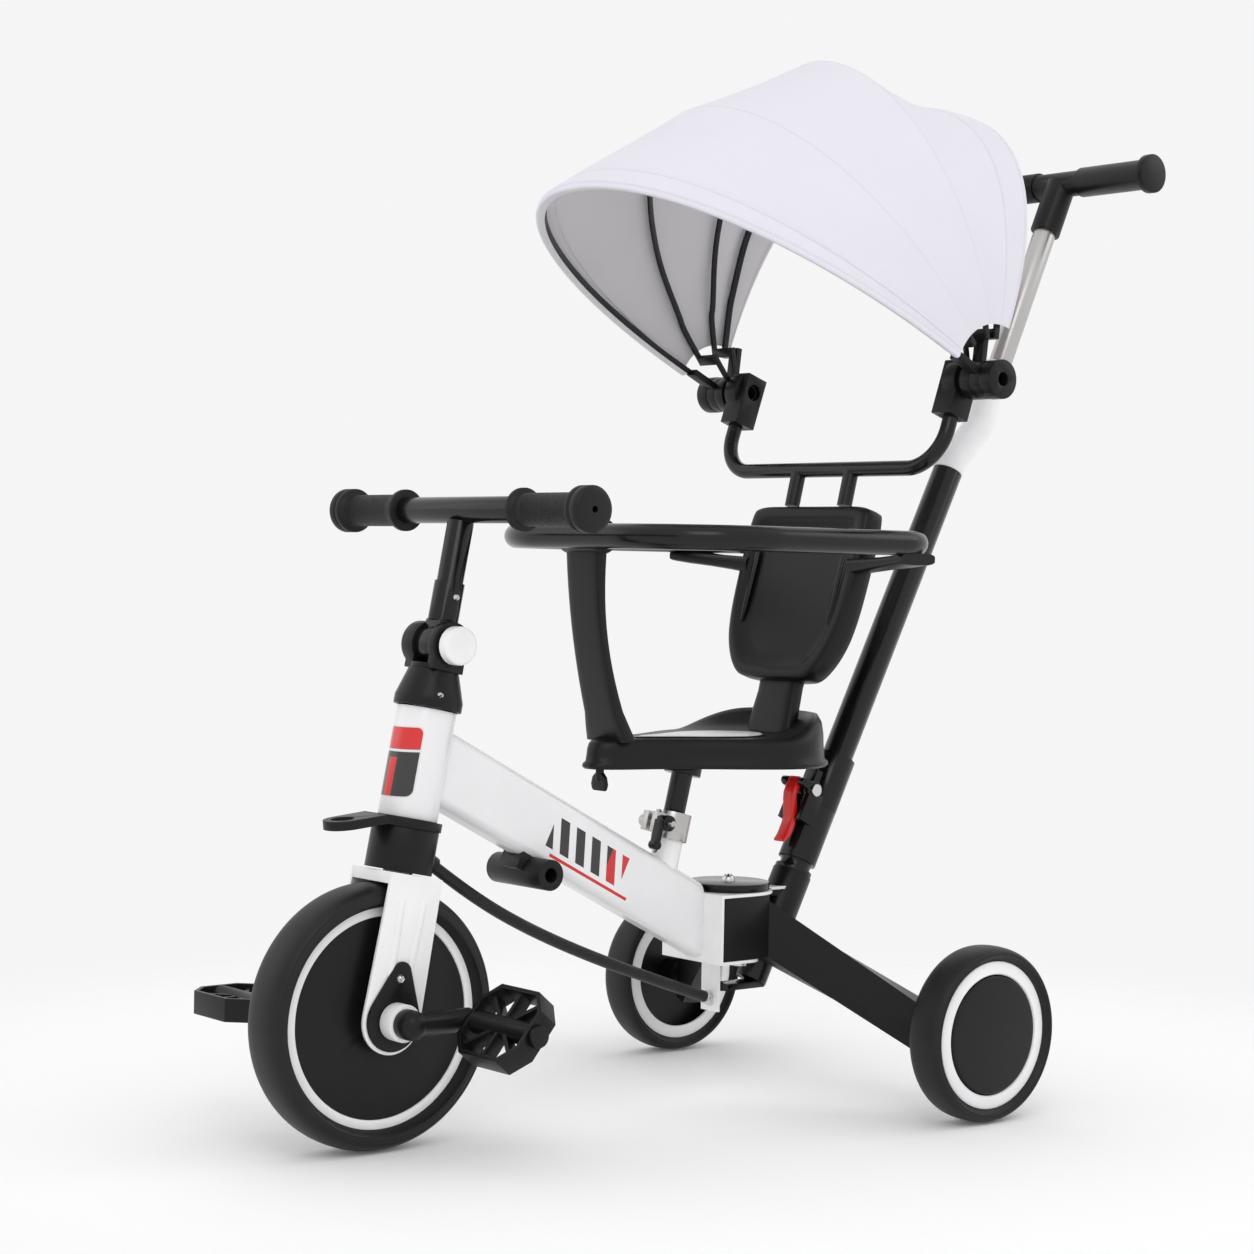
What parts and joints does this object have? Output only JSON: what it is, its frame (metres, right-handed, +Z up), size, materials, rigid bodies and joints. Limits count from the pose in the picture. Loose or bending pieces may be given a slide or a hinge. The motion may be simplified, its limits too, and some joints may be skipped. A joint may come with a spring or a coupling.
{
  "type": "children's tricycle",
  "caption": "Child's tricycle with pedal front wheel, folding rear arms, guard-ring seat, folding canopy and a steering parent push handle.",
  "frame": {"origin": "on the ground under the middle of the whole tricycle", "axes": "-Y forward, +X to the rider's left, +Z up"},
  "size_m": [0.5156, 1.0814, 1.0835],
  "materials": {
    "white_paint": "gloss",
    "white_plastic": "semi gloss",
    "black_plastic": "fine texture",
    "black_gloss": "semi gloss",
    "black_paint": "semi gloss",
    "red_plastic": "gloss",
    "tyre_foam": "matte",
    "grip_rubber": "matte",
    "hose_black": "satin",
    "steel": "zinc plated",
    "silver": "satin",
    "black_fabric_strap": "matte",
    "canopy_fabric": "matte cloth"
  },
  "bodies": {
    "frame": {"head_tube": "white_paint", "main_beam": "white_paint", "seat_tube": "white_paint", "hinge_housing": "white_paint", "hinge_cover": "black_gloss", "hinge_pins": "steel", "headset_bearings": "steel", "steering_collar": "black_plastic", "steering_hose": "hose_black", "pedal_holder": "black_plastic", "push_socket": "black_plastic", "seat_clamp": "silver"},
    "clamp_lever": {"quick_release_lever": "black_gloss"},
    "steering_switch": {"steering_switch": "black_plastic"},
    "fork": {"fork": "white_paint", "cable_pulley": "black_plastic", "headset_cover": "black_plastic", "stem_knuckle": "black_plastic", "axle_covers": "black_plastic"},
    "handlebar": {"stem": "black_paint", "handlebar": "black_paint", "handlebar_grips": "grip_rubber"},
    "tilt_button": {"tilt_button": "white_plastic"},
    "front_wheel": {"front_tyre": "tyre_foam", "front_rim": "black_plastic", "front_trim": "white_plastic", "front_axle": "steel", "cranks": "black_plastic", "crank_collars": "white_plastic"},
    "pedal_left": {"pedal_left": "black_plastic"},
    "pedal_right": {"pedal_right": "black_plastic"},
    "arm_left": {"rear_arm_left": "black_plastic"},
    "arm_right": {"rear_arm_right": "black_plastic"},
    "rear_wheel_left": {"rear_tyre_left": "tyre_foam", "rear_rim_left": "white_plastic"},
    "rear_wheel_right": {"rear_tyre_right": "tyre_foam", "rear_rim_right": "white_plastic"},
    "seat": {"seat_post": "black_paint", "saddle": "black_plastic", "seat_pad": "white_plastic", "backrest": "black_plastic", "guard_ring": "black_paint", "guard_strap": "black_fabric_strap", "canopy_bracket": "black_paint", "canopy_clamps": "black_plastic", "canopy_hub_pins": "black_plastic"},
    "canopy_rear": {"rib_rear": "black_plastic", "canopy_rear_panel": "canopy_fabric"},
    "canopy_third": {"rib_third": "black_plastic", "canopy_middle_panel": "canopy_fabric"},
    "canopy_second": {"rib_second": "black_plastic", "canopy_front_panel": "canopy_fabric"},
    "canopy_front": {"rib_front": "black_plastic"},
    "push_lower": {"push_tube_lower": "black_paint", "push_fold_pin": "steel"},
    "push_latch": {"push_latch": "red_plastic"},
    "push_upper": {"push_tube_upper": "black_paint", "push_offset_sleeve": "white_plastic"},
    "push_top": {"push_tube_inner": "silver", "push_handle": "black_plastic"}
  },
  "joints": [
    {"name": "steering", "type": "hinge", "parent": "frame", "child": "fork", "pos_m": [0, -0.41571, 0.125], "axis": [0, 0.1942, 0.981], "range_deg": [-35, 35]},
    {"name": "switch_turn", "type": "hinge", "parent": "frame", "child": "steering_switch", "pos_m": [0, -0.38127, 0.29892], "axis": [0, 0.1942, 0.981], "range_deg": [-25, 25]},
    {"name": "handlebar_tilt", "type": "hinge", "parent": "fork", "child": "handlebar", "pos_m": [0, -0.34732, 0.47039], "axis": [1, 0, 0], "range_deg": [-10, 60]},
    {"name": "tilt_button_press", "type": "slide", "parent": "fork", "child": "tilt_button", "axis": [-1, 0, 0], "range_m": [0, 0.002], "stiffness_N_per_m": 600},
    {"name": "front_wheel_spin", "type": "hinge", "parent": "fork", "child": "front_wheel", "pos_m": [0, -0.41571, 0.125], "axis": [1, 0, 0], "continuous": true},
    {"name": "pedal_left_spin", "type": "hinge", "parent": "front_wheel", "child": "pedal_left", "pos_m": [0.079, -0.35371, 0.125], "axis": [1, 0, 0], "continuous": true},
    {"name": "pedal_right_spin", "type": "hinge", "parent": "front_wheel", "child": "pedal_right", "pos_m": [-0.079, -0.47771, 0.125], "axis": [1, 0, 0], "continuous": true},
    {"name": "arm_left_fold", "type": "hinge", "parent": "frame", "child": "arm_left", "pos_m": [0.026, 0.02029, 0.148], "axis": [0, 0, 1], "range_deg": [0, 25]},
    {"name": "arm_right_fold", "type": "hinge", "parent": "frame", "child": "arm_right", "pos_m": [-0.026, 0.02029, 0.148], "axis": [0, 0, -1], "range_deg": [0, 25]},
    {"name": "rear_wheel_left_spin", "type": "hinge", "parent": "arm_left", "child": "rear_wheel_left", "pos_m": [0.2375, 0.15929, 0.088], "axis": [1, 0, 0], "continuous": true},
    {"name": "rear_wheel_right_spin", "type": "hinge", "parent": "arm_right", "child": "rear_wheel_right", "pos_m": [-0.2375, 0.15929, 0.088], "axis": [1, 0, 0], "continuous": true},
    {"name": "seat_height", "type": "slide", "parent": "frame", "child": "seat", "axis": [0, 0.2419, 0.9703], "range_m": [-0.012, 0.045]},
    {"name": "clamp_lever_open", "type": "hinge", "parent": "frame", "child": "clamp_lever", "pos_m": [0, -0.07528, 0.29027], "axis": [1, 0, 0], "range_deg": [-30, 45]},
    {"name": "canopy_tilt", "type": "hinge", "parent": "seat", "child": "canopy_rear", "pos_m": [0, 0.18399, 0.7441], "axis": [-1, 0, 0], "range_deg": [-20, 15]},
    {"name": "canopy_fold", "type": "hinge", "parent": "canopy_rear", "child": "canopy_third", "pos_m": [0, 0.18399, 0.7441], "axis": [-1, 0, 0], "range_deg": [0, 8], "deforming": ["canopy_rear_panel"]},
    {"name": "canopy_fold_second", "type": "hinge", "parent": "canopy_third", "child": "canopy_second", "pos_m": [0, 0.18399, 0.7441], "axis": [-1, 0, 0], "range_deg": [0, 18.5], "deforming": ["canopy_middle_panel"]},
    {"name": "canopy_fold_front", "type": "hinge", "parent": "canopy_second", "child": "canopy_front", "pos_m": [0, 0.18399, 0.7441], "axis": [-1, 0, 0], "range_deg": [0, 16.2], "deforming": ["canopy_front_panel"]},
    {"name": "push_turn", "type": "hinge", "parent": "frame", "child": "push_lower", "pos_m": [0, 0.11239, 0.2166], "axis": [0, 0.4586, 0.8886], "range_deg": [-35.5, 35.5]},
    {"name": "latch_release", "type": "hinge", "parent": "push_lower", "child": "push_latch", "pos_m": [0, 0.11924, 0.32473], "axis": [1, 0, 0], "range_deg": [0, 6]},
    {"name": "push_fold", "type": "hinge", "parent": "push_lower", "child": "push_upper", "pos_m": [0, 0.13299, 0.31538], "axis": [1, 0, 0], "range_deg": [0, 10]},
    {"name": "push_slide", "type": "slide", "parent": "push_upper", "child": "push_top", "axis": [0, 0.4163, 0.9092], "range_m": [-0.036, 0]}
  ],
  "couplings": [
    {"joint": "canopy_fold_second", "follows": "canopy_fold", "ratio": 2.3},
    {"joint": "canopy_fold_front", "follows": "canopy_fold", "ratio": 2},
    {"joint": "push_turn", "follows": "steering", "ratio": 1}
  ]
}
